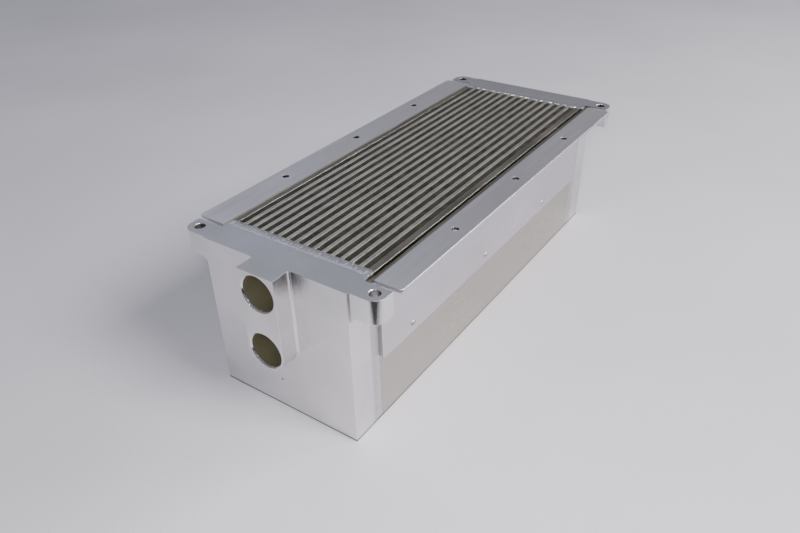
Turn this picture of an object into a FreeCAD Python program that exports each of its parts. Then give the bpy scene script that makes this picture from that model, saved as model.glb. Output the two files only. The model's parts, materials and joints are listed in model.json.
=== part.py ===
import FreeCAD, Part
import math
import os

import Sketcher
from FreeCAD import Placement, Rotation, Vector

# Hydraulic oil cooler: a brazed bar-and-plate core between two machined tanks, with a side flange along each flank.
# X runs across the core, Y along it with the ported tank at -Y, and Z up along the air flow.
# Every piece is drawn about the middle of the core and then shifted, so the model's box is centred on the origin.

doc = FreeCAD.newDocument("oil_cooler")
sizes = doc.addObject("Spreadsheet::Sheet", "sizes")

driving = {
    # overall
    "height": 147.0,
    "body_length": 454.0,
    "core_length": 395.0,
    # brazed core, layer by layer across X
    "air_layers": 15,
    "fin_height": 5.8,
    "oil_gap": 2.4,
    "sheet_thickness": 0.45,
    "side_plate_thickness": 5.9,
    "oil_bar_width": 6.0,
    "air_bar_width": 5.0,
    "fin_period": 2.6,
    "fin_crest": 0.5,
    "fin_thickness": 0.2,
    "fin_recess": 0.3,
    "turbulator_period": 10.0,
    "turbulator_crest": 4.7,
    "turbulator_thickness": 0.3,
    # tanks
    "tank_wall": 8.0,
    "tank_corner": 6.0,
    "divider_thickness": 5.0,
    "edge_break": 0.5,
    "weld_prep": 3.0,
    # corner lugs
    "lug_hole_offset": 16.0,
    "lug_hole_setback": 11.5,
    "lug_hole_diameter": 9.0,
    "lug_radius": 10.0,
    "lug_length": 18.5,
    "lug_thickness": 21.0,
    "lug_root_radius": 8.0,
    # port boss
    "boss_width": 36.5,
    "boss_depth": 17.5,
    "boss_root_radius": 2.5,
    "port_diameter": 31.2,
    "port_chamfer": 1.1,
    "port_spacing": 54.3,
    "mark_diameter": 2.2,
    "mark_depth": 1.5,
    "mark_height": 30.0,
    "mark_offset": 4.3,
    # side flanges
    "flange_reach": 30.75,
    "flange_overhang": 5.5,
    "flange_leg_setback": 6.5,
    "flange_leg_height": 84.0,
    "flange_thickness": 3.0,
    "flange_bend_radius": 5.2,
    "flange_corner": 4.0,
    "flange_edge_round": 0.8,
    "flange_hole_diameter": 6.6,
    "flange_hole_spacing": 108.0,
    "flange_hole_offset": 18.2,
    # rivets in the tall legs
    "rivet_diameter": 4.8,
    "rivet_head_diameter": 8.0,
    "rivet_head_height": 1.8,
    "rivet_grip": 7.0,
    "rivet_spacing": 126.0,
    "rivet_offset": -21.0,
    "rivet_edge": 7.0,
    # weld between core and tanks
    "bead_width": 8.0,
    "bead_crown": 1.2,
    "dressed_crown": 0.3,
    "side_bead_width": 12.0,
    "side_bead_crown": 0.4,
    "side_bead_gap": 1.0,
}
for row, (alias, value) in enumerate(driving.items(), start=1):
    sizes.set(f"A{row}", alias)
    sizes.set(f"B{row}", str(value))
    sizes.setAlias(f"B{row}", alias)
doc.recompute()


def sheet_value(alias):
    return float(sizes.get(alias))


# Derived sizes, written as expressions on the sheet.
stack_width = (
    "(sizes.air_layers * sizes.fin_height"
    " + (sizes.air_layers - 1) * (sizes.oil_gap + 2 * sizes.sheet_thickness))"
)
core_width = f"({stack_width} + 2 * sizes.side_plate_thickness)"
layer_pitch = "(sizes.fin_height + sizes.oil_gap + 2 * sizes.sheet_thickness)"
tank_depth = "((sizes.body_length - sizes.core_length) / 2)"
upper_port_height = "(sizes.height - sizes.boss_width / 2)"
lower_port_height = f"({upper_port_height} - sizes.port_spacing)"
divider_height = f"({upper_port_height} - sizes.port_spacing / 2)"
lug_hole_x = f"({core_width} / 2 + sizes.lug_hole_offset)"
lug_hole_y = "(sizes.body_length / 2 - sizes.lug_hole_setback)"
lug_front = f"({lug_hole_y} + sizes.lug_radius)"
lug_side = f"({lug_hole_x} + sizes.lug_radius)"
flange_side = f"({core_width} / 2 + sizes.flange_reach)"
flange_end = "(sizes.core_length / 2 + sizes.flange_overhang)"
flange_leg_end = "(sizes.core_length / 2 - sizes.flange_leg_setback)"
rivet_height = "(sizes.height - sizes.flange_leg_height + sizes.rivet_edge)"
model_shift = "(sizes.boss_depth / 2)"

air_layers = int(sheet_value("air_layers"))
oil_layers = air_layers - 1
sub_parts = []


def evaluate(expression):
    return sizes.evalExpression(expression)


def register(obj, label, turned=False):
    """Names a sub-part and puts it in its place in the model's frame."""
    obj.Label = label
    turn = Rotation(Vector(0, 0, 1), 180 if turned else 0)
    obj.Placement = Placement(Vector(0, 0, 0), turn)
    obj.setExpression("Placement.Base.y", model_shift)
    sub_parts.append(obj)
    return obj


# ---- plain blocks ----

def block(name, x, y, z, x_size, y_size, z_size):
    """A box from its lowest corner and its sizes, each an expression on the sheet."""
    box = doc.addObject("Part::Box", name)
    box.setExpression("Length", x_size)
    box.setExpression("Width", y_size)
    box.setExpression("Height", z_size)
    box.setExpression("Placement.Base.x", x)
    box.setExpression("Placement.Base.y", y)
    box.setExpression("Placement.Base.z", z)
    return box


def group(label, members):
    """One node that holds several separate solids."""
    compound = doc.addObject("Part::Compound", label)
    compound.Links = members
    return register(compound, label)


# ---- sketched bodies ----

def origin_plane(body, role):
    return next(feature for feature in body.Origin.OriginFeatures if feature.Role == role)


def new_sketch(body, name, role, offset="0"):
    """A sketch on an origin plane of its own body, moved along the plane's normal."""
    sketch = body.newObject("Sketcher::SketchObject", name)
    sketch.AttachmentSupport = (origin_plane(body, role), [""])
    sketch.MapMode = "FlatFace"
    sketch.setExpression("AttachmentOffset.Base.z", offset)
    return sketch


def pin_point(sketch, geometry, point, x, y):
    """Ties a sketch point to the sheet by its two coordinates."""
    for kind, expression in (("DistanceX", x), ("DistanceY", y)):
        value = evaluate(expression)
        index = sketch.addConstraint(Sketcher.Constraint(kind, -1, 1, geometry, point, value))
        sketch.setExpression(f"Constraints[{index}]", expression)


def add_polygon(sketch, corners):
    """A closed outline of straight lines through the given corners."""
    points = [Vector(evaluate(x), evaluate(y), 0) for x, y in corners]
    count = len(points)
    first = sketch.GeometryCount
    for k in range(count):
        sketch.addGeometry(Part.LineSegment(points[k], points[(k + 1) % count]), False)
    for k in range(count):
        follower = first + (k + 1) % count
        sketch.addConstraint(Sketcher.Constraint("Coincident", first + k, 2, follower, 1))
    for k, (x, y) in enumerate(corners):
        pin_point(sketch, first + k, 1, x, y)


def add_rectangle(sketch, x_low, x_high, y_low, y_high):
    add_polygon(sketch, [(x_low, y_low), (x_high, y_low), (x_high, y_high), (x_low, y_high)])


def add_circle(sketch, x, y, diameter):
    circle = Part.Circle(Vector(evaluate(x), evaluate(y), 0), Vector(0, 0, 1), evaluate(diameter) / 2)
    geometry = sketch.addGeometry(circle, False)
    pin_point(sketch, geometry, 3, x, y)
    index = sketch.addConstraint(Sketcher.Constraint("Diameter", geometry, evaluate(diameter)))
    sketch.setExpression(f"Constraints[{index}]", diameter)


def extrude(body, kind, name, sketch, length, reversed_way=False):
    """A Pad or a Pocket of the sketch."""
    feature = body.newObject(f"PartDesign::{kind}", name)
    feature.Profile = sketch
    feature.Reversed = reversed_way
    feature.setExpression("Length", length)
    doc.recompute()
    return feature


def edge_names(shape, test):
    """The names of the edges whose two ends and middle all pass the test."""
    names = []
    for number, edge in enumerate(shape.Edges, start=1):
        low, high = edge.ParameterRange
        places = [edge.valueAt(low), edge.valueAt((low + high) / 2), edge.valueAt(high)]
        if all(test(place) for place in places):
            names.append(f"Edge{number}")
    return names


def dress(body, kind, name, base, test, size):
    """A Fillet or a Chamfer on the edges that pass the test."""
    names = edge_names(base.Shape, test)
    if not names:
        raise RuntimeError(f"{name}: no edge found")
    feature = body.newObject(f"PartDesign::{kind}", name)
    feature.Base = (base, names)
    feature.setExpression("Radius" if kind == "Fillet" else "Size", size)
    doc.recompute()
    return feature


def near(value, target):
    return abs(value - target) < 1e-4


# ---- tanks ----

def make_tank(label, ported, turned):
    """A machined tank block with its two lugs, open towards the core. The ported one has the boss."""
    body = doc.addObject("PartDesign::Body", label)
    half_width = evaluate(f"{core_width} / 2")
    front = -evaluate("sizes.body_length / 2")
    joint = -evaluate("sizes.core_length / 2")
    top = evaluate("sizes.height")
    lug_x = evaluate(lug_side)
    lug_y = -evaluate(lug_front)
    lug_back = evaluate(f"-{lug_front} + sizes.lug_length")
    lug_base = evaluate("sizes.height - sizes.lug_thickness")

    outline = new_sketch(body, f"{label}_outline", "XY_Plane")
    add_rectangle(
        outline, f"-{core_width} / 2", f"{core_width} / 2", "-sizes.body_length / 2", "-sizes.core_length / 2"
    )
    extrude(body, "Pad", f"{label}_block", outline, "sizes.height")

    outline = new_sketch(body, f"{label}_lug_outline", "XY_Plane", "sizes.height - sizes.lug_thickness")
    add_rectangle(outline, f"-{lug_side}", lug_side, f"-{lug_front}", f"-{lug_front} + sizes.lug_length")
    solid = extrude(body, "Pad", f"{label}_lugs", outline, "sizes.lug_thickness")

    def lug_corner(p):
        return near(abs(p.x), lug_x) and near(p.y, lug_y)

    def lug_root(p):
        return near(abs(p.x), half_width) and near(p.z, lug_base) and lug_y - 0.01 < p.y < lug_back + 0.01

    solid = dress(body, "Fillet", f"{label}_lug_corners", solid, lug_corner, "sizes.lug_radius")
    solid = dress(body, "Fillet", f"{label}_lug_roots", solid, lug_root, "sizes.lug_root_radius")

    if ported:
        outline = new_sketch(body, "boss_outline", "XZ_Plane", "sizes.body_length / 2")
        add_boss_outline(outline)
        solid = extrude(body, "Pad", "boss", outline, "sizes.boss_depth")
        boss_half = evaluate("sizes.boss_width / 2")

        def boss_root(p):
            return near(p.y, front) and abs(p.x) < boss_half + 0.01 and p.z > evaluate("sizes.boss_width / 2")

        solid = dress(body, "Fillet", "boss_root", solid, boss_root, "sizes.boss_root_radius")

    chamber = new_sketch(body, f"{label}_chamber_outline", "XZ_Plane", "sizes.core_length / 2")
    chamber_x = f"({core_width} / 2 - sizes.tank_wall)"
    add_rectangle(chamber, f"-{chamber_x}", chamber_x, "sizes.tank_wall", "sizes.height - sizes.tank_wall")
    solid = extrude(body, "Pocket", f"{label}_chamber", chamber, f"{tank_depth} - sizes.tank_wall", True)
    inner_x = evaluate(chamber_x)
    inner_low = evaluate("sizes.tank_wall")
    inner_high = evaluate("sizes.height - sizes.tank_wall")

    def chamber_corner(p):
        return near(abs(p.x), inner_x) and (near(p.z, inner_low) or near(p.z, inner_high))

    solid = dress(body, "Fillet", f"{label}_chamber_corners", solid, chamber_corner, "sizes.tank_corner")

    if ported:
        ports = new_sketch(body, "port_outline", "XZ_Plane", "sizes.body_length / 2 + sizes.boss_depth")
        for port_height in (upper_port_height, lower_port_height):
            add_circle(ports, "0", port_height, "sizes.port_diameter")
        solid = extrude(body, "Pocket", "ports", ports, "sizes.boss_depth + sizes.tank_wall")
        port_radius = evaluate("sizes.port_diameter / 2")
        port_z = (evaluate(upper_port_height), evaluate(lower_port_height))
        mouth = front - evaluate("sizes.boss_depth")

        def port_rim(p):
            return near(p.y, mouth) and any(near(Vector(p.x, p.z - z).Length, port_radius) for z in port_z)

        solid = dress(body, "Chamfer", "port_chamfers", solid, port_rim, "sizes.port_chamfer")
        mark = new_sketch(body, "mark_outline", "XZ_Plane", "sizes.body_length / 2")
        add_circle(mark, "-sizes.mark_offset", "sizes.mark_height", "sizes.mark_diameter")
        solid = extrude(body, "Pocket", "mark", mark, "sizes.mark_depth")

    holes = new_sketch(body, f"{label}_hole_outline", "XY_Plane", "sizes.height")
    for side in ("-", ""):
        add_circle(holes, f"{side}{lug_hole_x}", f"-{lug_hole_y}", "sizes.lug_hole_diameter")
    solid = extrude(body, "Pocket", f"{label}_lug_holes", holes, "sizes.lug_thickness")
    hole_x = evaluate(lug_hole_x)
    hole_y = evaluate(lug_hole_y)
    hole_radius = evaluate("sizes.lug_hole_diameter / 2")

    def hole_rim(p):
        return near(p.z, top) and near(Vector(abs(p.x) - hole_x, p.y + hole_y).Length, hole_radius)

    def block_front(p):
        return near(abs(p.x), half_width) and near(p.y, front)

    def weld_edge(p):
        return near(p.y, joint) and (near(abs(p.x), half_width) or near(p.z, 0) or near(p.z, top))

    solid = dress(body, "Chamfer", f"{label}_hole_rims", solid, hole_rim, "sizes.edge_break")
    solid = dress(body, "Fillet", f"{label}_front_edges", solid, block_front, "sizes.edge_break")
    dress(body, "Chamfer", f"{label}_weld_prep", solid, weld_edge, "sizes.weld_prep")
    return register(body, label, turned)


def add_boss_outline(sketch):
    """Straight sides from the tank's top down to a half round about the lower port."""
    half = evaluate("sizes.boss_width / 2")
    top = evaluate("sizes.height")
    low = evaluate(lower_port_height)
    points = [Vector(-half, low, 0), Vector(-half, top, 0), Vector(half, top, 0), Vector(half, low, 0)]
    for start, end in zip(points, points[1:]):
        sketch.addGeometry(Part.LineSegment(start, end), False)
    round_end = Part.ArcOfCircle(
        Part.Circle(Vector(0, low, 0), Vector(0, 0, 1), half), math.pi, 2 * math.pi
    )
    arc = sketch.addGeometry(round_end, False)
    sketch.addConstraint(Sketcher.Constraint("Coincident", 0, 2, 1, 1))
    sketch.addConstraint(Sketcher.Constraint("Coincident", 1, 2, 2, 1))
    sketch.addConstraint(Sketcher.Constraint("Coincident", arc, 1, 0, 1))
    sketch.addConstraint(Sketcher.Constraint("Coincident", arc, 2, 2, 2))
    pin_point(sketch, 0, 1, "-sizes.boss_width / 2", lower_port_height)
    pin_point(sketch, 1, 1, "-sizes.boss_width / 2", "sizes.height")
    pin_point(sketch, 2, 1, "sizes.boss_width / 2", "sizes.height")
    pin_point(sketch, 2, 2, "sizes.boss_width / 2", lower_port_height)
    index = sketch.addConstraint(Sketcher.Constraint("DistanceY", -1, 1, arc, 3, low))
    sketch.setExpression(f"Constraints[{index}]", lower_port_height)


make_tank("port_tank", ported=True, turned=False)
make_tank("return_tank", ported=False, turned=True)

chamber_half = f"({core_width} / 2 - sizes.tank_wall)"
divider = block(
    "divider_plate",
    f"-{chamber_half}",
    "-sizes.body_length / 2 + sizes.tank_wall",
    f"{divider_height} - sizes.divider_thickness / 2",
    f"2 * {chamber_half}",
    f"{tank_depth} - sizes.tank_wall",
    "sizes.divider_thickness",
)
group("pass_divider", [divider])


# ---- brazed core ----

def air_x(layer):
    return f"(-{stack_width} / 2 + {layer} * {layer_pitch})"


def oil_x(layer):
    return f"({air_x(layer)} + sizes.fin_height + sizes.sheet_thickness)"


def offset_strip(centre_line, thickness):
    """The closed outline of a folded strip, mitred at its folds."""
    sides = ([], [])
    last = len(centre_line) - 1
    for k, point in enumerate(centre_line):
        before = centre_line[max(k - 1, 0)]
        after = centre_line[min(k + 1, last)]
        way_in = (point - before) if k else (after - point)
        way_out = (after - point) if k < last else (point - before)
        way_in.normalize()
        way_out.normalize()
        normal_in = Vector(-way_in.y, way_in.x, 0)
        normal_out = Vector(-way_out.y, way_out.x, 0)
        mitre = (normal_in + normal_out) * (thickness / 2 / (1 + normal_in.dot(normal_out)))
        sides[0].append(point + mitre)
        sides[1].append(point - mitre)
    return sides[0] + sides[1][::-1]


def corrugation(depth, run, period, crest, thickness):
    """The outline of a folded wave that fills a layer: x across the layer, y along the run."""
    folds = int(run // period) * 2
    start = -folds * period / 4
    reach = (depth - thickness) / 2
    line = []
    for k in range(folds):
        side = reach if k % 2 else -reach
        middle = start + (k + 0.5) * period / 2
        line.append(Vector(side, middle - crest / 2, 0))
        line.append(Vector(side, middle + crest / 2, 0))
    return offset_strip(line, thickness)


def corrugated_sheet(depth, run, length, folding):
    """A folded sheet, extruded along Z from zero. The folding is the alias stem of its period, crest and gauge."""
    outline = corrugation(
        depth,
        run,
        sheet_value(f"{folding}_period"),
        sheet_value(f"{folding}_crest"),
        sheet_value(f"{folding}_thickness"),
    )
    face = Part.Face(Part.makePolygon(outline + outline[:1]))
    return face.extrude(Vector(0, 0, length))


core_y = "-sizes.core_length / 2"

# Air fins stand upright between their end bars, a little below the tops of the closure bars.
fin_solid = corrugated_sheet(
    sheet_value("fin_height"),
    evaluate("sizes.core_length - 2 * sizes.air_bar_width"),
    evaluate("sizes.height - 2 * sizes.fin_recess"),
    "fin",
)
for layer in range(air_layers):
    label = f"air_fin_{layer + 1:02d}"
    fin = doc.addObject("Part::Feature", label)
    fin.Shape = fin_solid
    register(fin, label)
    fin.setExpression("Placement.Base.x", f"{air_x(layer)} + sizes.fin_height / 2")
    fin.setExpression("Placement.Base.z", "sizes.fin_recess")

# Each oil layer has two passes, split by its pass bar in line with the divider in the port tank.
pass_limits = {
    "lower": ("sizes.oil_bar_width", f"{divider_height} - sizes.oil_bar_width / 2"),
    "upper": (f"{divider_height} + sizes.oil_bar_width / 2", "sizes.height - sizes.oil_bar_width"),
}
turbulator_length = sheet_value("core_length")
pass_solids = []
for low, high in pass_limits.values():
    pass_height = evaluate(f"{high} - ({low})")
    solid = corrugated_sheet(
        sheet_value("oil_gap"),
        pass_height,
        turbulator_length,
        "turbulator",
    )
    solid.rotate(Vector(0, 0, 0), Vector(1, 0, 0), 90)
    pass_solids.append(solid.translated(Vector(0, turbulator_length / 2, evaluate(low) + pass_height / 2)))
for layer in range(oil_layers):
    label = f"oil_turbulator_{layer + 1:02d}"
    centre = Vector(evaluate(f"{oil_x(layer)} + sizes.oil_gap / 2"), 0, 0)
    turbulator = doc.addObject("Part::Feature", label)
    turbulator.Shape = Part.makeCompound([solid.translated(centre) for solid in pass_solids])
    register(turbulator, label)

for layer in range(oil_layers):
    pair = []
    for side, x in (("a", f"{oil_x(layer)} - sizes.sheet_thickness"), ("b", f"{oil_x(layer)} + sizes.oil_gap")):
        name = f"sheet_{layer + 1:02d}{side}"
        pair.append(block(name, x, core_y, "0", "sizes.sheet_thickness", "sizes.core_length", "sizes.height"))
    group(f"parting_sheets_{layer + 1:02d}", pair)

bar_levels = {
    "top_oil_bars": "sizes.height - sizes.oil_bar_width",
    "pass_bars": f"{divider_height} - sizes.oil_bar_width / 2",
    "bottom_oil_bars": "0",
}
for label, z in bar_levels.items():
    bars = [
        block(f"{label}_{layer + 1}", oil_x(layer), core_y, z, "sizes.oil_gap", "sizes.core_length",
              "sizes.oil_bar_width")
        for layer in range(oil_layers)
    ]
    group(label, bars)

bar_ends = {
    "near_air_bars": "-sizes.core_length / 2",
    "far_air_bars": "sizes.core_length / 2 - sizes.air_bar_width",
}
for label, y in bar_ends.items():
    bars = [
        block(f"{label}_{layer + 1}", air_x(layer), y, "0", "sizes.fin_height", "sizes.air_bar_width",
              "sizes.height")
        for layer in range(air_layers)
    ]
    group(label, bars)


# ---- side plates, flanges and rivets, drawn for the +X side; the -X side is the same set turned round ----

rivet_sites = [f"(sizes.rivet_offset + {k} * sizes.rivet_spacing)" for k in (-1, 0, 1)]
flank = f"({core_width} / 2)"
flank_outer = f"({flank} + sizes.flange_thickness)"


def peg(name, x, y, length):
    """A round bar of rivet size, lying along X."""
    cylinder = doc.addObject("Part::Cylinder", name)
    cylinder.Placement = Placement(Vector(0, 0, 0), Rotation(Vector(0, 1, 0), 90))
    cylinder.setExpression("Radius", "sizes.rivet_diameter / 2")
    cylinder.setExpression("Height", length)
    cylinder.setExpression("Placement.Base.x", x)
    cylinder.setExpression("Placement.Base.y", y)
    cylinder.setExpression("Placement.Base.z", rivet_height)
    return cylinder


def make_side_plate(label, turned):
    """The core's thick outer plate, with a blind hole for each rivet."""
    plate = block(
        f"{label}_blank", f"{flank} - sizes.side_plate_thickness", core_y, "0",
        "sizes.side_plate_thickness", "sizes.core_length", "sizes.height",
    )
    depth = "(sizes.rivet_grip - sizes.flange_thickness)"
    holes = doc.addObject("Part::Compound", f"{label}_holes")
    holes.Links = [
        peg(f"{label}_hole_{k}", f"{flank} - {depth}", site, depth) for k, site in enumerate(rivet_sites)
    ]
    drilled = doc.addObject("Part::Cut", label)
    drilled.Base = plate
    drilled.Tool = holes
    return register(drilled, label, turned)


def make_flange(label, turned):
    """A folded L: the tall leg lies on the side plate and the top leg stands out, level with the lugs."""
    body = doc.addObject("PartDesign::Body", label)
    side = evaluate(flank)
    outer = evaluate(flange_side)
    top = evaluate("sizes.height")
    inner_fold = evaluate("sizes.height - sizes.flange_thickness")
    foot = evaluate("sizes.height - sizes.flange_leg_height")
    half_leg = evaluate(flange_leg_end)

    section = new_sketch(body, f"{label}_section", "XZ_Plane", f"-{flange_end}")
    foot_height = "sizes.height - sizes.flange_leg_height"
    under = "sizes.height - sizes.flange_thickness"
    add_polygon(section, [
        (flank, foot_height), (flank_outer, foot_height), (flank_outer, under),
        (flange_side, under), (flange_side, "sizes.height"), (flank, "sizes.height"),
    ])
    solid = extrude(body, "Pad", f"{label}_strip", section, f"2 * {flange_end}")

    def outer_bend(p):
        return near(p.x, side) and near(p.z, top)

    def inner_bend(p):
        return near(p.x, evaluate(flank_outer)) and near(p.z, inner_fold)

    solid = dress(body, "Fillet", f"{label}_outer_bend", solid, outer_bend, "sizes.flange_bend_radius")
    solid = dress(
        body, "Fillet", f"{label}_inner_bend", solid, inner_bend, "sizes.flange_bend_radius - sizes.flange_thickness"
    )

    notches = new_sketch(body, f"{label}_notch_outline", "YZ_Plane", flank)
    notch_top = "sizes.height - sizes.flange_bend_radius"
    for near_end, far_end in (
        (f"-{flange_end}", f"-{flange_leg_end}"),
        (flange_leg_end, flange_end),
    ):
        add_rectangle(notches, near_end, far_end, foot_height, notch_top)
    solid = extrude(body, "Pocket", f"{label}_notches", notches, "sizes.flange_thickness", True)

    def top_edge(p):
        return near(p.x, outer) and near(p.z, top)

    def foot_corner(p):
        return near(abs(p.y), half_leg) and near(p.z, foot)

    def top_corner(p):
        return near(p.x, outer) and near(abs(p.y), evaluate(flange_end))

    solid = dress(body, "Fillet", f"{label}_top_corners", solid, top_corner, "sizes.flange_corner")
    solid = dress(body, "Fillet", f"{label}_top_edge", solid, top_edge, "sizes.flange_edge_round")
    dress(body, "Fillet", f"{label}_foot_corners", solid, foot_corner, "sizes.flange_corner")

    holes = new_sketch(body, f"{label}_hole_outline", "XY_Plane", "sizes.height")
    for k in (-1, 0, 1):
        add_circle(
            holes, f"{core_width} / 2 + sizes.flange_hole_offset", f"{k} * sizes.flange_hole_spacing",
            "sizes.flange_hole_diameter",
        )
    extrude(body, "Pocket", f"{label}_holes", holes, "sizes.flange_thickness")

    rivet_holes = new_sketch(body, f"{label}_rivet_outline", "YZ_Plane", flank)
    for site in rivet_sites:
        add_circle(rivet_holes, site, rivet_height, "sizes.rivet_diameter")
    extrude(body, "Pocket", f"{label}_rivet_holes", rivet_holes, "sizes.flange_thickness", True)
    return register(body, label, turned)


def make_rivets(label, turned):
    """Three dome-headed rivets, each a separate solid."""
    dome_radius = (
        "((sizes.rivet_head_diameter ^ 2 / 4 + sizes.rivet_head_height ^ 2) / (2 * sizes.rivet_head_height))"
    )
    rivets = []
    for k, site in enumerate(rivet_sites):
        shank = peg(f"{label}_shank_{k}", f"{flank_outer} - sizes.rivet_grip", site, "sizes.rivet_grip")
        head = doc.addObject("Part::Sphere", f"{label}_head_{k}")
        head.Placement = Placement(Vector(0, 0, 0), Rotation(Vector(0, 1, 0), 90))
        head.setExpression("Radius", dome_radius)
        head.setExpression("Angle1", f"asin(({dome_radius} - sizes.rivet_head_height) / {dome_radius})")
        head.setExpression("Placement.Base.x", f"{flank_outer} + sizes.rivet_head_height - {dome_radius}")
        head.setExpression("Placement.Base.y", site)
        head.setExpression("Placement.Base.z", rivet_height)
        rivet = doc.addObject("Part::Fuse", f"{label}_rivet_{k}")
        rivet.Base = shank
        rivet.Tool = head
        rivets.append(rivet)
    compound = doc.addObject("Part::Compound", label)
    compound.Links = rivets
    return register(compound, label, turned)


for hand, turned in (("right", False), ("left", True)):
    make_side_plate(f"{hand}_side_plate", turned)
    make_flange(f"{hand}_flange", turned)
    make_rivets(f"{hand}_rivets", turned)


# ---- welds that close the joints between core and tanks ----

def bead_section(width, crown, prep):
    """A weld across a joint at zero: u along the core, v outwards. It fills the tank's bevel below v = 0."""
    groove = [Vector(0, 0, 0), Vector(0, -prep, 0), Vector(-prep, 0, 0)]
    if not crown:
        return Part.Face(Part.makePolygon(groove + groove[:1]))
    start = Vector(-width / 2, 0, 0)
    end = Vector(width / 2, 0, 0)
    edges = [Part.Arc(start, Vector(0, crown, 0), end).toShape()]
    corners = [end] + groove + [start]
    edges += [Part.LineSegment(a, b).toShape() for a, b in zip(corners, corners[1:])]
    return Part.Face(Part.Wire(edges))


def bead(section, length, across, outwards, place):
    """The section extruded along across x outwards and set at the joint."""
    solid = section.extrude(Vector(0, 0, length))
    frame = FreeCAD.Matrix()
    third = across.cross(outwards)
    frame.A11, frame.A21, frame.A31 = across
    frame.A12, frame.A22, frame.A32 = outwards
    frame.A13, frame.A23, frame.A33 = third
    frame.A14, frame.A24, frame.A34 = place
    return solid.transformGeometry(frame)


def make_weld(label, crown, turned):
    """Four runs round one joint: crowned on top, low and dressed on the sides, flush below."""
    prep = sheet_value("weld_prep")
    half = evaluate(flank)
    joint = -evaluate("sizes.core_length / 2")
    top = sheet_value("height")
    side_top = evaluate("sizes.height - sizes.flange_bend_radius - sizes.side_bead_gap")
    along = Vector(0, 1, 0)
    top_section = bead_section(sheet_value("bead_width"), sheet_value(crown), prep)
    side_section = bead_section(sheet_value("side_bead_width"), sheet_value("side_bead_crown"), prep)
    flush_section = bead_section(0, 0, prep)
    runs = [
        bead(top_section, 2 * half, along, Vector(0, 0, 1), Vector(-half, joint, top)),
        bead(flush_section, 2 * half, along, Vector(0, 0, -1), Vector(half, joint, 0)),
        bead(side_section, side_top - prep, along, Vector(1, 0, 0), Vector(half, joint, side_top)),
        bead(side_section, side_top - prep, along, Vector(-1, 0, 0), Vector(-half, joint, prep)),
    ]
    weld = doc.addObject("Part::Feature", label)
    weld.Shape = Part.makeCompound(runs)
    return register(weld, label, turned)


make_weld("port_tank_weld", "bead_crown", turned=False)
make_weld("return_tank_weld", "dressed_crown", turned=True)


# ---- checks and export ----

doc.recompute()
for obj in doc.Objects:
    if "Invalid" in obj.State or "Error" in obj.State:
        raise RuntimeError(f"{obj.Name} did not compute: {obj.State}")
for obj in sub_parts:
    if obj.Shape.isNull() or not obj.Shape.isValid() or not obj.Shape.Solids:
        raise RuntimeError(f"{obj.Label} has no valid shape")

os.makedirs("parts", exist_ok=True)
for obj in sub_parts:
    obj.Shape.exportStep(f"parts/{obj.Label}.step")
print(len(sub_parts), "sub-parts,", sum(len(obj.Shape.Solids) for obj in sub_parts), "solids")
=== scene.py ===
import json
import math
import random

import bpy
from mathutils import Matrix, Vector


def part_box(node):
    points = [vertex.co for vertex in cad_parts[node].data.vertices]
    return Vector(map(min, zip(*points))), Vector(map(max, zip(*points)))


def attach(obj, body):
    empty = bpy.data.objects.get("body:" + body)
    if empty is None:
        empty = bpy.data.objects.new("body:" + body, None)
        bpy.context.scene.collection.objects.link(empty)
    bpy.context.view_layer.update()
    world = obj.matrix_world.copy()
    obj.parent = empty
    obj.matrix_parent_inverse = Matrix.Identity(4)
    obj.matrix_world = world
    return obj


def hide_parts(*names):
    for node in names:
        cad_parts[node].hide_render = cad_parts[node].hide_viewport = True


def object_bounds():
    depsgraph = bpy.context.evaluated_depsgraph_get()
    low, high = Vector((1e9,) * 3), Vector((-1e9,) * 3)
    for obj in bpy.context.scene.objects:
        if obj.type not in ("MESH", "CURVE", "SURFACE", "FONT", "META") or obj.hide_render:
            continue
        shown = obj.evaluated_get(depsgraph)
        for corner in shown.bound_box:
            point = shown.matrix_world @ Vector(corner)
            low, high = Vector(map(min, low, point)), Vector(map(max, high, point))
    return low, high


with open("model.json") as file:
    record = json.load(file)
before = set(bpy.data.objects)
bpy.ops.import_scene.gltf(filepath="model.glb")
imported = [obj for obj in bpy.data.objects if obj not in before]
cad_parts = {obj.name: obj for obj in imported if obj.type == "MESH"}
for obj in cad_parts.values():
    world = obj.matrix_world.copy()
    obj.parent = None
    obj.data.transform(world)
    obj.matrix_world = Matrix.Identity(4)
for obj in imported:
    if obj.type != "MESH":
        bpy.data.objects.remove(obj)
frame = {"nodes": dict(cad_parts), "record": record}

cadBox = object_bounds()
cadNodes = frame["nodes"]
mounts = {mount["name"]: mount for mount in frame["record"]["mounts"]}
print("frame loaded:", len(cadNodes), "nodes")


# small helpers for working by hand

def deselectAll():
    if bpy.context.mode != "OBJECT":
        bpy.ops.object.mode_set(mode="OBJECT")
    bpy.ops.object.select_all(action="DESELECT")


def pickOnly(*pieces):
    deselectAll()
    for piece in pieces:
        piece.select_set(True)
    bpy.context.view_layer.objects.active = pieces[0]


def pickFaces(piece, test):
    # faces chosen by their centre and normal, then edit mode
    pickOnly(piece)
    bpy.ops.object.mode_set(mode="EDIT")
    bpy.ops.mesh.select_mode(type="FACE")
    bpy.ops.mesh.select_all(action="DESELECT")
    bpy.ops.object.mode_set(mode="OBJECT")
    for face in piece.data.polygons:
        face.select = test(face.center, face.normal)
    bpy.ops.object.mode_set(mode="EDIT")


def settle(piece):
    # place, turn and scale go into the mesh
    pickOnly(piece)
    bpy.ops.object.transform_apply(location=True, rotation=True, scale=True)


def joinAll(name, pieces):
    pickOnly(*pieces)
    bpy.ops.object.join()
    joined = bpy.context.view_layer.objects.active
    joined.name = name
    joined.data.name = name
    return joined


def applyModifier(piece, kind, **values):
    pickOnly(piece)
    modifier = piece.modifiers.new(kind.title(), kind)
    for key, value in values.items():
        setattr(modifier, key, value)
    bpy.ops.object.modifier_apply(modifier=modifier.name)


# node groups that several metals share

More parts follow.
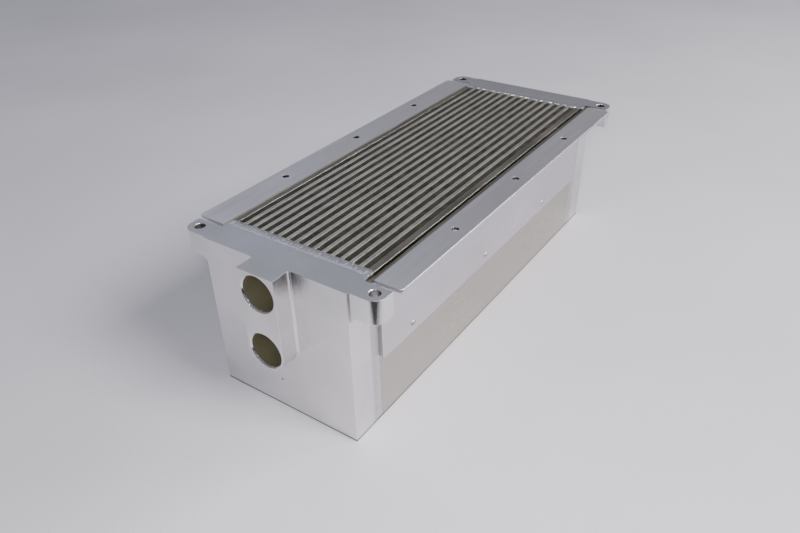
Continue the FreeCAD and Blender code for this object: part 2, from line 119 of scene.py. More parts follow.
def newGroup(name, inputs, outputs):
    group = bpy.data.node_groups.new(name, "ShaderNodeTree")
    for label, kind, value in inputs:
        socket = group.interface.new_socket(name=label, in_out="INPUT", socket_type=kind)
        socket.default_value = value
    for label, kind in outputs:
        group.interface.new_socket(name=label, in_out="OUTPUT", socket_type=kind)
    return group, group.nodes.new("NodeGroupInput"), group.nodes.new("NodeGroupOutput")


def addNode(tree, kind, **values):
    node = tree.nodes.new(kind)
    for key, value in values.items():
        setattr(node, key, value)
    return node


def feed(tree, socket, value):
    # a link when given a socket, else a plain value
    if isinstance(value, bpy.types.NodeSocket):
        tree.links.new(value, socket)
    else:
        socket.default_value = value


def mathNode(tree, operation, first, second=0.0, clamp=False):
    node = addNode(tree, "ShaderNodeMath", operation=operation, use_clamp=clamp)
    feed(tree, node.inputs[0], first)
    feed(tree, node.inputs[1], second)
    return node.outputs[0]


def rangeNode(tree, value, low, high, newLow, newHigh):
    node = addNode(tree, "ShaderNodeMapRange", clamp=True)
    feed(tree, node.inputs["Value"], value)
    for label, amount in (("From Min", low), ("From Max", high), ("To Min", newLow), ("To Max", newHigh)):
        feed(tree, node.inputs[label], amount)
    return node.outputs["Result"]


def mixColour(tree, factor, first, second):
    node = addNode(tree, "ShaderNodeMix", data_type="RGBA")
    feed(tree, node.inputs[0], factor)
    feed(tree, node.inputs[6], first)
    feed(tree, node.inputs[7], second)
    return node.outputs[2]


def noiseNode(tree, vector, scale, detail=3.0, roughness=0.55):
    node = addNode(tree, "ShaderNodeTexNoise")
    feed(tree, node.inputs["Vector"], vector)
    feed(tree, node.inputs["Scale"], scale)
    node.inputs["Detail"].default_value = detail
    node.inputs["Roughness"].default_value = roughness
    return node.outputs["Fac"]


def mixValue(tree, factor, first, second):
    node = addNode(tree, "ShaderNodeMix")
    feed(tree, node.inputs[0], factor)
    feed(tree, node.inputs[2], first)
    feed(tree, node.inputs[3], second)
    return node.outputs[0]


def partPlace(tree):
    return addNode(tree, "ShaderNodeTexCoord").outputs["Object"]


def splitAxes(tree, vector):
    split = addNode(tree, "ShaderNodeSeparateXYZ")
    feed(tree, split.inputs[0], vector)
    return split.outputs[0], split.outputs[1], split.outputs[2]


grainValues = {
    "detail": 4.0,
    "roughness": 0.7,
    "broadShare": 0.22,
    "broadDetail": 2.0,
    "broadRoughness": 0.5,
    "contrast": (0.3, 0.7),
}


def buildGrainGroup():
    # fine parallel lines left by a cutter, a belt or a roller: stretch is small along the lines
    spec = grainValues
    group, given, result = newGroup(
        "metalGrain",
        [("Stretch", "NodeSocketVector", (1.0, 1.0, 1.0)), ("Fineness", "NodeSocketFloat", 1.0)],
        [("Grain", "NodeSocketFloat"), ("Broad", "NodeSocketFloat")],
    )
    stretched = addNode(group, "ShaderNodeVectorMath", operation="MULTIPLY")
    group.links.new(partPlace(group), stretched.inputs[0])
    group.links.new(given.outputs["Stretch"], stretched.inputs[1])
    lines = stretched.outputs[0]
    fine = noiseNode(group, lines, given.outputs["Fineness"], spec["detail"], spec["roughness"])
    broadScale = mathNode(group, "MULTIPLY", given.outputs["Fineness"], spec["broadShare"])
    broad = noiseNode(group, lines, broadScale, spec["broadDetail"], spec["broadRoughness"])
    group.links.new(rangeNode(group, fine, *spec["contrast"], 0.0, 1.0), result.inputs["Grain"])
    group.links.new(rangeNode(group, broad, *spec["contrast"], 0.0, 1.0), result.inputs["Broad"])
    return group


markValues = {
    "size": 12.0,
    "detail": 5.0,
    "roughness": 0.6,
    "contrast": (0.35, 0.68),
}


def buildMarkGroup():
    # cloudy handling marks
    spec = markValues
    group, given, result = newGroup(
        "handlingMarks",
        [("Size", "NodeSocketFloat", spec["size"])],
        [("Cloud", "NodeSocketFloat")],
    )
    cloud = noiseNode(group, partPlace(group), given.outputs["Size"], spec["detail"], spec["roughness"])
    group.links.new(rangeNode(group, cloud, *spec["contrast"], 0.0, 1.0), result.inputs["Cloud"])
    return group


cornerValues = {
    "radius": 0.0004,
    "samples": 4,
    "turned": (0.999, 0.93),
}


def buildEdgeGroup():
    # a rounded normal for sharp corners, and a mask of where they are
    spec = cornerValues
    group, given, result = newGroup(
        "softCorners",
        [("Radius", "NodeSocketFloat", spec["radius"])],
        [("Corner", "NodeSocketFloat"), ("Normal", "NodeSocketVector")],
    )
    bevel = addNode(group, "ShaderNodeBevel", samples=spec["samples"])
    group.links.new(given.outputs["Radius"], bevel.inputs["Radius"])
    flat = addNode(group, "ShaderNodeNewGeometry").outputs["Normal"]
    dot = addNode(group, "ShaderNodeVectorMath", operation="DOT_PRODUCT")
    group.links.new(bevel.outputs["Normal"], dot.inputs[0])
    group.links.new(flat, dot.inputs[1])
    corner = rangeNode(group, dot.outputs["Value"], *spec["turned"], 0.0, 1.0)
    group.links.new(corner, result.inputs["Corner"])
    group.links.new(bevel.outputs["Normal"], result.inputs["Normal"])
    return group


grainGroup = buildGrainGroup()
markGroup = buildMarkGroup()
edgeGroup = buildEdgeGroup()


def placeGroup(tree, group, **values):
    node = addNode(tree, "ShaderNodeGroup", node_tree=group)
    for label, value in values.items():
        feed(tree, node.inputs[label], value)
    return node


def startMetal(name, metallic=1.0):
    material = bpy.data.materials.new(name)
    material.use_nodes = True
    tree = material.node_tree
    shader = tree.nodes["Principled BSDF"]
    shader.inputs["Metallic"].default_value = metallic
    return material, tree, shader


# painted light: corners turn light grey as a painted highlight, and a near-black line along the base is
# painted shade
cornerHighlightWearAndBaseShade = {
    "bright": (0.93, 0.93, 0.94, 1.0),
    "smoothing": -0.08,
    "baseShade": (0.05, 0.047, 0.04, 1.0),
    "baseShadeShare": 0.95,
    "baseShadeFull": 0.0009,
    "baseShadeTop": 0.0020,
}


def finishMetal(tree, shader, colour, roughness, height, bumpSize, cornerRadius):
    # painted highlight in light grey on the corners, which are also a little less rough for wear, painted
    # shade in a dark line along the base, and a bump that rides on the rounded normal
    spec = cornerHighlightWearAndBaseShade
    corner = placeGroup(tree, edgeGroup, Radius=cornerRadius)
    # painted highlight: light grey on the corners
    bright = mixColour(tree, corner.outputs["Corner"], colour, spec["bright"])
    # painted shade: near black in the lowest two millimetres
    up = splitAxes(tree, partPlace(tree))[2]
    baseShade = rangeNode(tree, up, spec["baseShadeFull"], spec["baseShadeTop"], spec["baseShadeShare"], 0.0)
    feed(tree, shader.inputs["Base Color"], mixColour(tree, baseShade, bright, spec["baseShade"]))
    worn = mathNode(tree, "MULTIPLY", corner.outputs["Corner"], spec["smoothing"])
    feed(tree, shader.inputs["Roughness"], mathNode(tree, "ADD", roughness, worn, clamp=True))
    bump = addNode(tree, "ShaderNodeBump")
    bump.inputs["Strength"].default_value = 1.0
    bump.inputs["Distance"].default_value = bumpSize
    feed(tree, bump.inputs["Height"], height)
    feed(tree, bump.inputs["Normal"], corner.outputs["Normal"])
    feed(tree, shader.inputs["Normal"], bump.outputs["Normal"])


facingRange = (0.6, 0.9)


def facing(tree, axis):
    # 1 where the surface looks along an axis of the part, either way
    normal = addNode(tree, "ShaderNodeTexCoord").outputs["Normal"]
    along = mathNode(tree, "ABSOLUTE", splitAxes(tree, normal)[axis])
    return rangeNode(tree, along, *facingRange, 0.0, 1.0)


holeEdge = {
    "solid": 0.0001,
    "gone": 0.0004,
}


def insideHole(tree, across, along, radius):
    # 1 up to a hole's wall, from the two offsets to its axis
    acrossSquared = mathNode(tree, "MULTIPLY", across, across)
    alongSquared = mathNode(tree, "MULTIPLY", along, along)
    distance = mathNode(tree, "SQRT", mathNode(tree, "ADD", acrossSquared, alongSquared))
    return rangeNode(tree, distance, radius + holeEdge["solid"], radius + holeEdge["gone"], 1.0, 0.0)


# machined tanks: bright fly-cut faces, a sanded top and dark bores

tankMetal = {
    "bright": (0.74, 0.73, 0.735, 1.0),
    "sanded": (0.70, 0.70, 0.715, 1.0),
    "smeared": (0.46, 0.45, 0.44, 1.0),
    "boreTint": (0.27, 0.245, 0.155, 1.0),
    "frontRoughness": 0.06,
    "bossRoughness": 0.04,
    "sideRoughness": 0.27,
    "topRoughness": 0.34,
    "boreRoughness": 0.30,
    "boreMetallic": 0.55,
    "bossReach": (0.055, 0.065),
    "markSize": 14.0,
    "smearShare": 0.45,
    "lineTint": (0.98, 0.98, 1.0, 1.0),
    "lineShare": 0.16,
    "smearRoughness": 0.03,
    "lineRoughness": 0.02,
    "chamferDepth": 0.0014,
    "mouthBlend": 0.0006,
    "portEnd": (-0.02, 0.0),
    "cutterLines": (60.0, 60.0, 4.0),
    "sandingLines": (5.0, 110.0, 60.0),
    "fineness": 22.0,
    "bump": 0.00006,
    "corner": 0.0005,
}


def boreMask(tree):
    # inside either port, and the chamber behind it
    spec = tankMetal
    x, y, z = splitAxes(tree, partPlace(tree))
    inside = None
    for port in ("upper_port", "lower_port"):
        mount = mounts[port]
        across = mathNode(tree, "SUBTRACT", x, mount["pos_m"][0])
        up = mathNode(tree, "SUBTRACT", z, mount["pos_m"][2])
        near = insideHole(tree, across, up, mount["dims"]["r_mm"] / 1000)
        inside = near if inside is None else mathNode(tree, "MAXIMUM", inside, near)
    mouth = cadBox[0].y + spec["chamferDepth"]
    deep = rangeNode(tree, y, mouth, mouth + spec["mouthBlend"], 0.0, 1.0)
    portEnd = rangeNode(tree, y, *spec["portEnd"], 1.0, 0.0)
    return mathNode(tree, "MULTIPLY", mathNode(tree, "MULTIPLY", inside, deep), portEnd)


def buildTankMetal():
    spec = tankMetal
    material, tree, shader = startMetal("machinedTank")
    cutter = placeGroup(tree, grainGroup, Stretch=spec["cutterLines"], Fineness=spec["fineness"])
    sanding = placeGroup(tree, grainGroup, Stretch=spec["sandingLines"], Fineness=spec["fineness"])
    cloud = placeGroup(tree, markGroup, Size=spec["markSize"]).outputs["Cloud"]
    top = facing(tree, 2)
    side = facing(tree, 0)
    bore = boreMask(tree)
    height = mixValue(tree, top, cutter.outputs["Grain"], sanding.outputs["Grain"])

    base = mixColour(tree, top, spec["bright"], spec["sanded"])
    smeared = mixColour(tree, mathNode(tree, "MULTIPLY", cloud, spec["smearShare"]), base, spec["smeared"])
    lines = mathNode(tree, "MULTIPLY", height, spec["lineShare"])
    lined = mixColour(tree, lines, smeared, spec["lineTint"])
    # dark olive, less metallic colour inside the ports and the chamber behind them
    colour = mixColour(tree, bore, lined, spec["boreTint"])
    feed(tree, shader.inputs["Metallic"], rangeNode(tree, bore, 0.0, 1.0, 1.0, spec["boreMetallic"]))

    across = mathNode(tree, "ABSOLUTE", splitAxes(tree, partPlace(tree))[0])
    flank = rangeNode(tree, across, *spec["bossReach"], spec["bossRoughness"], spec["sideRoughness"])
    upright = rangeNode(tree, side, 0.0, 1.0, spec["frontRoughness"], flank)
    outer = mixValue(tree, top, upright, spec["topRoughness"])
    marked = mathNode(tree, "ADD", outer, mathNode(tree, "MULTIPLY", cloud, spec["smearRoughness"]))
    grained = mathNode(tree, "ADD", marked, mathNode(tree, "MULTIPLY", height, spec["lineRoughness"]))
    rough = mixValue(tree, bore, grained, spec["boreRoughness"])
    finishMetal(tree, shader, colour, rough, height, spec["bump"], spec["corner"])
    return material


# rolled sheet and plate: flanges and side plates

# painted shade in the groove between side plate and folded edge
grooveShade = {
    "colour": (0.22, 0.205, 0.155, 1.0),
    "right": 0.0788,
    "left": 0.0752,
    "sideBlend": 0.0006,
    "inner": 0.0715,
    "innerBlend": 0.0005,
    "foot": 0.1395,
    "footBlend": 0.002,
    "streakShare": 0.72,
}


def grooveShadeMask(tree, streak):
    # painted shade: the pocket between side plate and folded edge is coloured dark olive, patchy along the
    # rolling lines
    spec = grooveShade
    axes = splitAxes(tree, partPlace(tree))
    across, up = axes[0], axes[2]
    blend = spec["sideBlend"]
    rightEdge = rangeNode(tree, across, spec["right"] - blend, spec["right"] + blend, 1.0, 0.0)
    leftEdge = rangeNode(tree, across, -spec["left"] - blend, -spec["left"] + blend, 0.0, 1.0)
    outside = mathNode(tree, "ABSOLUTE", across)
    beyond = rangeNode(tree, outside, spec["inner"], spec["inner"] + spec["innerBlend"], 0.0, 1.0)
    high = rangeNode(tree, up, spec["foot"], spec["foot"] + spec["footBlend"], 0.0, 1.0)
    band = mathNode(tree, "MULTIPLY", mathNode(tree, "MULTIPLY", rightEdge, leftEdge), beyond)
    patchy = rangeNode(tree, streak, 0.0, 1.0, 1.0, spec["streakShare"])
    return mathNode(tree, "MULTIPLY", mathNode(tree, "MULTIPLY", band, high), patchy)


# painted shade on the flange hole walls
holeShade = {
    "colour": (0.06, 0.06, 0.06, 1.0),
    "rim": (0.0006, 0.0002),
}


def holeShadeMask(tree):
    # painted shade: the walls of the flange holes are coloured near black
    x, y, z = splitAxes(tree, partPlace(tree))
    ends = mounts["flange_end_holes"]
    line = ends["dims"]["spacing_x_mm"] / 2000
    gap = ends["dims"]["spacing_y_mm"] / 2000
    across = mathNode(tree, "SUBTRACT", mathNode(tree, "ABSOLUTE", x), line)
    fromMiddle = mathNode(tree, "ABSOLUTE", mathNode(tree, "SUBTRACT", y, ends["pos_m"][1]))
    fromEnd = mathNode(tree, "ABSOLUTE", mathNode(tree, "SUBTRACT", fromMiddle, gap))
    nearest = mathNode(tree, "MINIMUM", fromMiddle, fromEnd)
    wall = insideHole(tree, across, nearest, ends["dims"]["hole_r_mm"] / 1000)
    low, high = (ends["pos_m"][2] - depth for depth in holeShade["rim"])
    return mathNode(tree, "MULTIPLY", wall, rangeNode(tree, z, low, high, 1.0, 0.0))


rolledMarks = {
    "lineColour": (0.50, 0.49, 0.47, 1.0),
    "cloudRoughness": 0.10,
    "lineRoughness": 0.06,
}


def buildRolledMetal(name, spec):
    material, tree, shader = startMetal(name)
    rolling = placeGroup(tree, grainGroup, Stretch=spec["rolling"], Fineness=spec["fineness"])
    fine, broad = rolling.outputs["Grain"], rolling.outputs["Broad"]
    cloud = placeGroup(tree, markGroup, Size=spec["markSize"]).outputs["Cloud"]
    top = facing(tree, 2)
    # painted light: top faces get a colour of their own, lighter than the sides on the flanges and much
    # darker on the side plates
    base = mixColour(tree, top, spec["side"], spec["top"])
    stained = mixColour(tree, mathNode(tree, "MULTIPLY", cloud, spec["stain"]), base, spec["stainColour"])
    lines = mathNode(tree, "MULTIPLY", broad, spec["lines"])
    lined = mixColour(tree, lines, stained, rolledMarks["lineColour"])
    # painted shade: dark olive in the groove, patchy along the rolling lines
    grooved = mixColour(tree, grooveShadeMask(tree, broad), lined, grooveShade["colour"])
    # painted shade: near black on the flange hole walls
    colour = mixColour(tree, holeShadeMask(tree), grooved, holeShade["colour"])
    level = rangeNode(tree, top, 0.0, 1.0, spec["sideRoughness"], spec["topRoughness"])
    marked = mathNode(tree, "ADD", level, mathNode(tree, "MULTIPLY", cloud, rolledMarks["cloudRoughness"]))
    rough = mathNode(tree, "ADD", marked, mathNode(tree, "MULTIPLY", fine, rolledMarks["lineRoughness"]))
    finishMetal(tree, shader, colour, rough, fine, spec["bump"], spec["corner"])
    return material


# painted light: the top colour is lighter than the side colour
flangeMetal = {
    "top": (0.90, 0.885, 0.90, 1.0),
    "side": (0.64, 0.625, 0.67, 1.0),
    "stainColour": (0.52, 0.51, 0.50, 1.0),
    "stain": 0.42,
    "lines": 0.24,
    "markSize": 11.0,
    "rolling": (50.0, 3.0, 50.0),
    "fineness": 20.0,
    "topRoughness": 0.33,
    "sideRoughness": 0.22,
    "bump": 0.00004,
    "corner": 0.0007,
}

# painted shade: the top colour is much darker than the side colour
plateMetal = {
    "top": (0.13, 0.125, 0.10, 1.0),
    "side": (0.43, 0.41, 0.375, 1.0),
    "stainColour": (0.46, 0.42, 0.35, 1.0),
    "stain": 0.45,
    "lines": 0.22,
    "markSize": 9.0,
    "rolling": (50.0, 3.0, 40.0),
    "fineness": 18.0,
    "topRoughness": 0.45,
    "sideRoughness": 0.16,
    "bump": 0.00005,
    "corner": 0.0004,
}


# brazed core: dull bars with a beaded skin, dark fins

barMetal = {
    "clean": (0.47, 0.46, 0.41, 1.0),
    "dull": (0.29, 0.28, 0.24, 1.0),
    "markSize": 30.0,
    "beadScale": 380.0,
    "beadDetail": 2.0,
    "beadGrain": 0.5,
    "beadContrast": (0.35, 0.65),
    "beadTint": (0.72, 0.70, 0.64, 1.0),
    "beadShare": 0.35,
    "roughContrast": (0.3, 0.7),
    "roughness": (0.34, 0.54),
    "bump": 0.00025,
    "corner": 0.0003,
}


def buildBarMetal(name, spec):
    material, tree, shader = startMetal(name)
    bead = noiseNode(tree, partPlace(tree), spec["beadScale"], spec["beadDetail"], spec["beadGrain"])
    beadLevel = rangeNode(tree, bead, *spec["beadContrast"], 0.0, 1.0)
    cloud = placeGroup(tree, markGroup, Size=spec["markSize"]).outputs["Cloud"]
    base = mixColour(tree, cloud, spec["clean"], spec["dull"])
    lit = mixColour(tree, mathNode(tree, "MULTIPLY", beadLevel, spec["beadShare"]), base, spec["beadTint"])
    rough = rangeNode(tree, bead, *spec["roughContrast"], *spec["roughness"])
    finishMetal(tree, shader, lit, rough, beadLevel, spec["bump"], spec["corner"])
    return material


# painted shade: the near-black deep colour stands for shade in the air channels
finMetal = {
    "deep": (0.022, 0.020, 0.015, 1.0),
    "tints": ((0.34, 0.30, 0.23, 1.0), (0.27, 0.28, 0.21, 1.0)),
    "tintScale": 24.0,
    "patchScale": 90.0,
    "patchDetail": 3.0,
    "patchGrain": 0.6,
    "patchContrast": (0.3, 0.7),
    "patchFloor": 0.35,
    "edgeDepth": 0.0005,
    "metallic": 0.6,
    "roughness": (0.65, 0.45),
}


def buildFinMetal():
    # painted shade: the fin walls are coloured near black as shade deep in the air channels; the folded
    # edges at either face are lighter, olive in patches
    spec = finMetal
    material, tree, shader = startMetal("brazedFin", spec["metallic"])
    place = partPlace(tree)
    up = splitAxes(tree, place)[2]
    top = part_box("air_fin_01")[1].z
    upper = rangeNode(tree, up, top - spec["edgeDepth"], top, 0.0, 1.0)
    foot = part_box("air_fin_01")[0].z
    lower = rangeNode(tree, up, foot + spec["edgeDepth"], foot, 0.0, 1.0)
    edge = mathNode(tree, "MAXIMUM", upper, lower)
    patch = noiseNode(tree, place, spec["patchScale"], spec["patchDetail"], spec["patchGrain"])
    patchy = rangeNode(tree, patch, *spec["patchContrast"], spec["patchFloor"], 1.0)
    tint = mixColour(tree, noiseNode(tree, place, spec["tintScale"]), *spec["tints"])
    rim = mixColour(tree, patchy, spec["deep"], tint)
    # painted shade: near black on the fin walls below the folded edges
    feed(tree, shader.inputs["Base Color"], mixColour(tree, edge, spec["deep"], rim))
    rough = rangeNode(tree, patchy, spec["patchFloor"], 1.0, *spec["roughness"])
    feed(tree, shader.inputs["Roughness"], rough)
    return material


weldMetal = {
    "bright": (0.88, 0.88, 0.89, 1.0),
    "dressedTint": (0.56, 0.56, 0.565, 1.0),
    "grey": (0.50, 0.49, 0.49, 1.0),
    "markSize": 60.0,
    "smutShare": 0.35,
    "streakShare": 0.7,
    "creaseColour": (0.20, 0.19, 0.17, 1.0),
    "creaseRange": (0.44, 0.50),
    "creaseShare": 0.75,
    "dressLines": (70.0, 70.0, 6.0),
    "fineness": 14.0,
    "roughness": 0.24,
    "streakRoughness": 0.18,
    "bump": 0.00012,
    "corner": 0.0003,
}


def buildWeldMetal():
    # bright with smut and dark creases on top, dressed flat on the sides
    spec = weldMetal
    material, tree, shader = startMetal("weldBead")
    dressed = placeGroup(tree, grainGroup, Stretch=spec["dressLines"], Fineness=spec["fineness"])
    cloud = placeGroup(tree, markGroup, Size=spec["markSize"]).outputs["Cloud"]
    side = facing(tree, 0)
    smut = mathNode(tree, "MULTIPLY", cloud, spec["smutShare"])
    smutted = mixColour(tree, smut, spec["bright"], spec["grey"])
    ground = mixColour(tree, side, smutted, spec["dressedTint"])
    streak = mathNode(tree, "MULTIPLY", dressed.outputs["Broad"], side)
    streaked = mixColour(tree, mathNode(tree, "MULTIPLY", streak, spec["streakShare"]), ground, spec["grey"])
    crest = addNode(tree, "ShaderNodeNewGeometry").outputs["Pointiness"]
    crease = rangeNode(tree, crest, *spec["creaseRange"], spec["creaseShare"], 0.0)
    colour = mixColour(tree, crease, streaked, spec["creaseColour"])
    streakRough = mathNode(tree, "MULTIPLY", streak, spec["streakRoughness"])
    rough = mathNode(tree, "ADD", streakRough, spec["roughness"])
    height = mathNode(tree, "MULTIPLY", dressed.outputs["Grain"], side)
    finishMetal(tree, shader, colour, rough, height, spec["bump"], spec["corner"])
    return material


rivetMetal = dict(flangeMetal, top=(0.80, 0.80, 0.80, 1.0), topRoughness=0.25, corner=0.0002)

finishes = {
    "machined_tank": buildTankMetal(),
    "folded_flange": buildRolledMetal("foldedFlange", flangeMetal),
    "side_plate": buildRolledMetal("sidePlate", plateMetal),
    "rivet": buildRolledMetal("rivetHead", rivetMetal),
    "core_bar": buildBarMetal("coreBar", barMetal),
    "parting_sheet": buildBarMetal("partingSheet", barMetal),
    "air_fin": buildFinMetal(),
    "turbulator": buildBarMetal("turbulator", barMetal),
    "weld_bead": buildWeldMetal(),
}
for part in frame["record"]["subparts"]:
    for slot in cadNodes[part["node"]].material_slots:
        slot.material = finishes[part["material_slot"]]
print("materials placed:", len(finishes))


# weld beads: the joint's own metal with a ripple for every dab of the rod

weldBead = {
    "pitch": 0.0091,
    "layers": 15,
    "barDab": (0.0029, 0.0046, 0.00112),
    "barShift": (0.0006, 0.0018),
    "betweenDab": (0.0020, 0.0030, 0.00060),
    "betweenShift": (-0.0012, 0.0002),
    "wander": 0.0007,
    "widths": (0.75, 1.2),
    "lengths": (0.8, 1.15),
    "lifts": (0.7, 1.0),
    "turn": 0.5,
    "sink": 0.0012,
    "dabSegments": 20,
    "dabRings": 10,
    "undersideTurn": -0.55,
    "undersideFlatten": 0.4,
    "mergeGap": 0.000001,
    "crownStart": 0.00005,
    "flatten": 0.12,
    "fullCrown": 0.5,
    "cornerLump": (0.0042, 0.0052, 0.00108),
    "cornerInset": 0.0042,
    "cornerShift": 0.0008,
    "footLump": (0.0013, 0.0034, 0.0060),
    "footInset": 0.0004,
    "footHeight": 0.012,
    "voxel": 0.00042,
    "smoothing": 0.4,
    "spread": (0.0008, 0.001),
    "topGap": 0.00005,
}


def addDab(place, size, turn=0.0):
    # one dab: a low dome, flattened underneath
    spec = weldBead
    bpy.ops.mesh.primitive_uv_sphere_add(
        segments=spec["dabSegments"], ring_count=spec["dabRings"], radius=1.0, location=place
    )
    dab = bpy.context.object
    dab.scale = size
    dab.rotation_euler = (0.0, 0.0, turn)
    settle(dab)
    pickFaces(dab, lambda centre, normal: normal.z < spec["undersideTurn"])
    bpy.ops.transform.resize(value=(1.0, 1.0, spec["undersideFlatten"]), center_override=place)
    bpy.ops.object.mode_set(mode="OBJECT")
    return dab


def flattenedRun(node, surface):
    # a copy of the CAD run with its crown pressed down, as the ground under the dabs
    spec = weldBead
    pickOnly(cadNodes[node])
    bpy.ops.object.duplicate()
    run = bpy.context.object
    run.name = "beadCore"
    pickFaces(run, lambda centre, normal: True)
    bpy.ops.mesh.remove_doubles(threshold=spec["mergeGap"])
    bpy.ops.object.mode_set(mode="OBJECT")
    pickFaces(run, lambda centre, normal: centre.z > surface + spec["crownStart"])
    bpy.ops.transform.resize(value=(1.0, 1.0, spec["flatten"]), center_override=(0.0, 0.0, surface))
    bpy.ops.object.mode_set(mode="OBJECT")
    return run


def buildTopBead(node, crown, seed):
    # a big dab on every bar and a small one between two bars make the ripples
    spec = weldBead
    draw = random.Random(seed)
    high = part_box(node)[1]
    surface = mounts["lug_holes"]["pos_m"][2]
    coreward = 1.0 if high.y < 0 else -1.0
    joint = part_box("top_oil_bars")[0].y if high.y < 0 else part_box("top_oil_bars")[1].y
    pieces = [flattenedRun(node, surface)]
    for k in range(-spec["layers"] + 1, spec["layers"]):
        onBar = (k + spec["layers"]) % 2 == 0
        reach = spec["barDab"] if onBar else spec["betweenDab"]
        shift = draw.uniform(*(spec["barShift"] if onBar else spec["betweenShift"]))
        lift = reach[2] * crown * draw.uniform(*spec["lifts"])
        place = (
            k * spec["pitch"] / 2 + draw.uniform(-spec["wander"], spec["wander"]),
            joint + coreward * shift,
            surface - spec["sink"],
        )
        width = reach[0] * draw.uniform(*spec["widths"])
        length = reach[1] * draw.uniform(*spec["lengths"])
        turn = draw.uniform(-spec["turn"], spec["turn"])
        pieces.append(addDab(place, (width, length, lift + spec["sink"]), turn))
    if crown > spec["fullCrown"]:
        lump = spec["cornerLump"]
        cornerY = joint + spec["cornerShift"] * coreward
        for side in (-1.0, 1.0):
            place = (side * (high.x - spec["cornerInset"]), cornerY, surface - spec["sink"])
            pieces.append(addDab(place, (lump[0], lump[1], lump[2] + spec["sink"])))
        pieces.append(addDab((high.x - spec["footInset"], joint, spec["footHeight"]), spec["footLump"]))
    return joinAll(node + "Bead", pieces)


def finishBead(bead, node):
    # one skin over run and dabs, kept within the CAD box
    spec = weldBead
    pickOnly(bead)
    bead.data.remesh_voxel_size = spec["voxel"]
    bpy.ops.object.voxel_remesh()
    applyModifier(bead, "SMOOTH", factor=spec["smoothing"], iterations=1)
    low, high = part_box(node)
    spreadX, spreadY = spec["spread"]
    for point in bead.data.vertices:
        point.co.x = min(max(point.co.x, low.x - spreadX), high.x + spreadX)
        point.co.y = min(max(point.co.y, low.y - spreadY), high.y + spreadY)
        point.co.z = min(max(point.co.z, low.z), cadBox[1].z - spec["topGap"])
    pickOnly(bead)
    bpy.ops.object.shade_smooth()
    bead.data.materials.clear()
    bead.data.materials.append(finishes["weld_bead"])
    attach(bead, "root")
    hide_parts(node)
    print(node, "bead:", len(bead.data.polygons), "faces")


weldRuns = {
    "port_tank_weld": {"crown": 1.0, "seed": 7},
    "return_tank_weld": {"crown": 0.25, "seed": 11},
}
for node, run in weldRuns.items():
    finishBead(buildTopBead(node, run["crown"], run["seed"]), node)


# floor, lights and camera

floorCloth = {
    "size": 14.0,
    "tint": (0.74, 0.72, 0.77, 1.0),
    "patchScale": 3.0,
    "patchDetail": 3.0,
    "patchGrain": 0.5,
    "patchContrast": (0.3, 0.7),
    "shades": (0.94, 1.04),
    "roughness": 0.95,
    "weave": 900.0,
    "weaveDepth": 0.0003,
}


def buildFloor():
    spec = floorCloth
    bpy.ops.mesh.primitive_plane_add(size=spec["size"], location=(0.0, 0.0, 0.0))
    floor = bpy.context.object
    floor.name = "floorCloth"
    settle(floor)
    material, tree, shader = startMetal("paleCloth", 0.0)
    place = partPlace(tree)
    patch = noiseNode(tree, place, spec["patchScale"], spec["patchDetail"], spec["patchGrain"])
    shade = rangeNode(tree, patch, *spec["patchContrast"], *spec["shades"])
    tint = addNode(tree, "ShaderNodeHueSaturation")
    tint.inputs["Color"].default_value = spec["tint"]
    feed(tree, tint.inputs["Value"], shade)
    feed(tree, shader.inputs["Base Color"], tint.outputs["Color"])
    shader.inputs["Roughness"].default_value = spec["roughness"]
    bump = addNode(tree, "ShaderNodeBump")
    bump.inputs["Distance"].default_value = spec["weaveDepth"]
    feed(tree, bump.inputs["Height"], noiseNode(tree, place, spec["weave"]))
    feed(tree, shader.inputs["Normal"], bump.outputs["Normal"])
    floor.data.materials.append(material)


viewpoint = {
    "place": (0.337035, -0.532404, 0.435386),
    "azimuth": 34.821,
    "elevation": 33.081,
    "roll": -1.226,
    "lens": 32.10,
    "sensor": 36.0,
    "clipStart": 0.01,
}


def viewAxes():
    turn = math.radians(viewpoint["azimuth"])
    rise = math.radians(viewpoint["elevation"])
    roll = math.radians(viewpoint["roll"])
    back = Vector((math.sin(turn) * math.cos(rise), -math.cos(turn) * math.cos(rise), math.sin(rise)))
    level = Vector((math.cos(turn), math.sin(turn), 0.0))
    upright = back.cross(level)
    right = level * math.cos(roll) + upright * math.sin(roll)
    up = upright * math.cos(roll) - level * math.sin(roll)
    return right, up, back


def buildCamera():
    data = bpy.data.cameras.new("viewCamera")
    data.sensor_width = viewpoint["sensor"]
    data.lens = viewpoint["lens"]
    data.clip_start = viewpoint["clipStart"]
    camera = bpy.data.objects.new("viewCamera", data)
    bpy.context.collection.objects.link(camera)
    turned = Matrix(viewAxes()).transposed().to_4x4()
    camera.matrix_world = Matrix.Translation(viewpoint["place"]) @ turned
    bpy.context.scene.camera = camera


# painted reflection: a dark sheet seen only in reflections
darkReflectionCard = {
    "place": 0.372,
    "depth": 0.9,
    "width": 1.6,
    "height": 0.002,
    "tint": (0.02, 0.02, 0.02, 1.0),
    "roughness": 1.0,
}


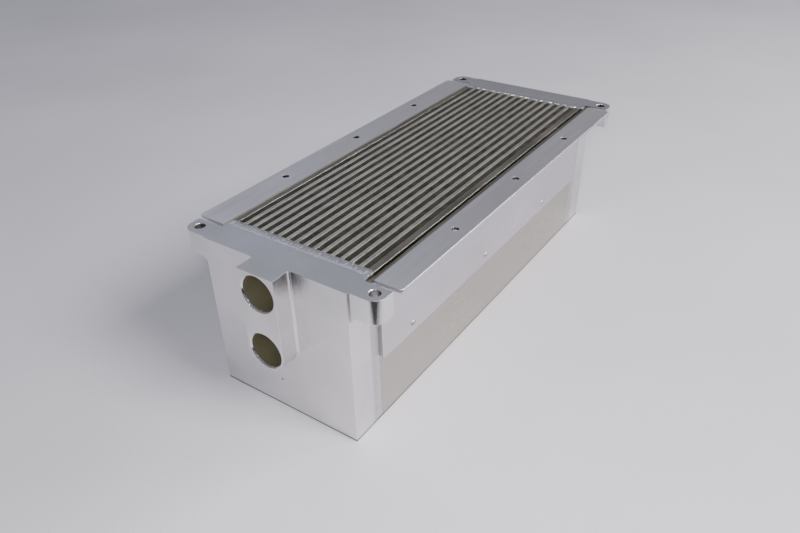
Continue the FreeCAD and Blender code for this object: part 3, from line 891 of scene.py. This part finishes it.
def buildCard():
    # painted reflection: a dark sheet on the floor near the viewer, hidden from the camera, from diffuse
    # light and from shadows, so it is seen only in the polished faces
    spec = darkReflectionCard
    turn = math.radians(viewpoint["azimuth"])
    forward = Vector((math.sin(turn), -math.cos(turn), 0.0))
    middle = forward * (spec["place"] + spec["depth"] / 2)
    bpy.ops.mesh.primitive_plane_add(size=1.0, location=(middle.x, middle.y, spec["height"]))
    card = bpy.context.object
    card.name = "darkReflectionCard"
    card.scale = (spec["width"], spec["depth"], 1.0)
    card.rotation_euler = (0.0, 0.0, turn)
    settle(card)
    material, tree, shader = startMetal("darkReflectionCard", 0.0)
    shader.inputs["Base Color"].default_value = spec["tint"]
    shader.inputs["Roughness"].default_value = spec["roughness"]
    card.data.materials.append(material)
    card.visible_camera = False
    card.visible_diffuse = False
    card.visible_shadow = False


lamps = {
    "keyLamp": {"place": (1.2, -0.05, 1.22), "size": 0.7, "power": 29.0, "tint": (1.0, 0.965, 0.95)},
    "rimLamp": {"place": (1.25, 1.4, 1.05), "size": 0.9, "power": 18.0, "tint": (1.0, 0.99, 0.98)},
    "fillLamp": {"place": (-1.3, 0.6, 1.7), "size": 1.6, "power": 3.0, "tint": (0.70, 0.78, 1.0)},
    "glintLamp": {"place": (0.32, -0.55, 0.46), "size": 0.06, "power": 2.2, "tint": (1.0, 1.0, 1.0)},
}


paleRoom = {
    "tint": (0.62, 0.62, 0.71, 1.0),
    "strength": 0.43,
}


def buildLamps():
    for name, spec in lamps.items():
        data = bpy.data.lights.new(name, "AREA")
        data.size = spec["size"]
        data.energy = spec["power"]
        data.color = spec["tint"]
        lamp = bpy.data.objects.new(name, data)
        bpy.context.collection.objects.link(lamp)
        lamp.location = spec["place"]
        lamp.rotation_mode = "QUATERNION"
        lamp.rotation_quaternion = Vector(spec["place"]).to_track_quat("Z", "Y")


def buildRoom():
    world = bpy.data.worlds.new("paleRoom")
    world.use_nodes = True
    background = world.node_tree.nodes["Background"]
    background.inputs["Color"].default_value = paleRoom["tint"]
    background.inputs["Strength"].default_value = paleRoom["strength"]
    bpy.context.scene.world = world


buildFloor()
buildCamera()
buildCard()
buildLamps()
buildRoom()
print("stage, camera and lamps placed")
